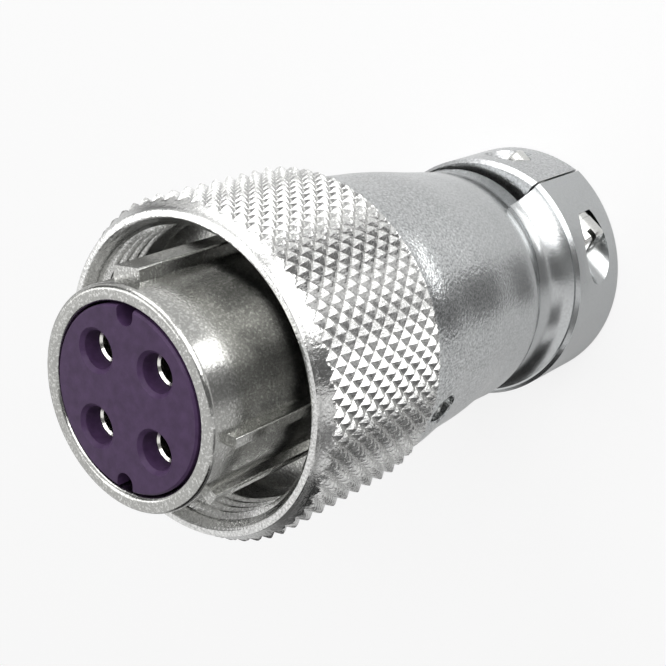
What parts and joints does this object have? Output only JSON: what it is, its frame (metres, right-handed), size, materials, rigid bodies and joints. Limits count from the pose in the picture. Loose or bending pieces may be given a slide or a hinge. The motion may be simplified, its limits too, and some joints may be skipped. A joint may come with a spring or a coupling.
{
  "type": "circular power connector plug",
  "caption": "Circular cable plug with a keyed barrel, socket contacts in an insulating insert, a knurled threaded coupling ring, a tapered back shell and a split cable clamp.",
  "frame": {"origin": "centre of the clamp's rear face, on the plug's axis", "axes": "+Z is the mating direction out of the barrel's mouth, X lies in the clamp's split plane, +Y is the side of the loose saddle"},
  "size_m": [0.034, 0.034, 0.0636],
  "materials": {
    "plated_shell": "satin nickel plate over a die-cast body",
    "plated_screw": "bright plated steel",
    "insert_purple": "semi-matt moulded insert",
    "contact_plating": "silver plated turned contact",
    "retainer_brass": "plated brass",
    "grommet_rubber": "matt black rubber"
  },
  "bodies": {
    "plug": {"front_shell": "plated_shell", "back_shell": "plated_shell", "insulator_front": "insert_purple", "insulator_rear": "insert_purple", "socket_contact_1": "contact_plating", "socket_contact_2": "contact_plating", "socket_contact_3": "contact_plating", "socket_contact_4": "contact_plating", "insert_retainer": "retainer_brass", "ring_spring_washer": "plated_screw", "set_screw": "plated_screw", "lock_washer_right": "plated_screw", "lock_washer_left": "plated_screw", "cable_grommet": "grommet_rubber", "grommet_washer": "plated_screw"},
    "ring": {"coupling_ring": "plated_shell"},
    "saddle": {"clamp_saddle": "plated_shell"},
    "screw_right": {"clamp_screw_right": "plated_screw"},
    "screw_left": {"clamp_screw_left": "plated_screw"}
  },
  "joints": [
    {"name": "ring_turn", "type": "hinge", "parent": "plug", "child": "ring", "pos_m": [0, 0, 0.047], "axis": [0, 0, 1], "continuous": true},
    {"name": "saddle_lift", "type": "slide", "parent": "plug", "child": "saddle", "axis": [0, 1, 0], "range_m": [0, 0.0023]},
    {"name": "screw_right_turn", "type": "hinge", "parent": "plug", "child": "screw_right", "pos_m": [0.0122, 0, 0.0047], "axis": [0, -1, 0], "range_deg": [0, 1841]},
    {"name": "screw_left_turn", "type": "hinge", "parent": "plug", "child": "screw_left", "pos_m": [-0.0122, 0, 0.0047], "axis": [0, -1, 0], "range_deg": [0, 1841]}
  ],
  "couplings": [
    {"joint": "screw_right_turn", "follows": "saddle_lift", "rad_per_m": 13963},
    {"joint": "screw_left_turn", "follows": "saddle_lift", "rad_per_m": 13963}
  ]
}
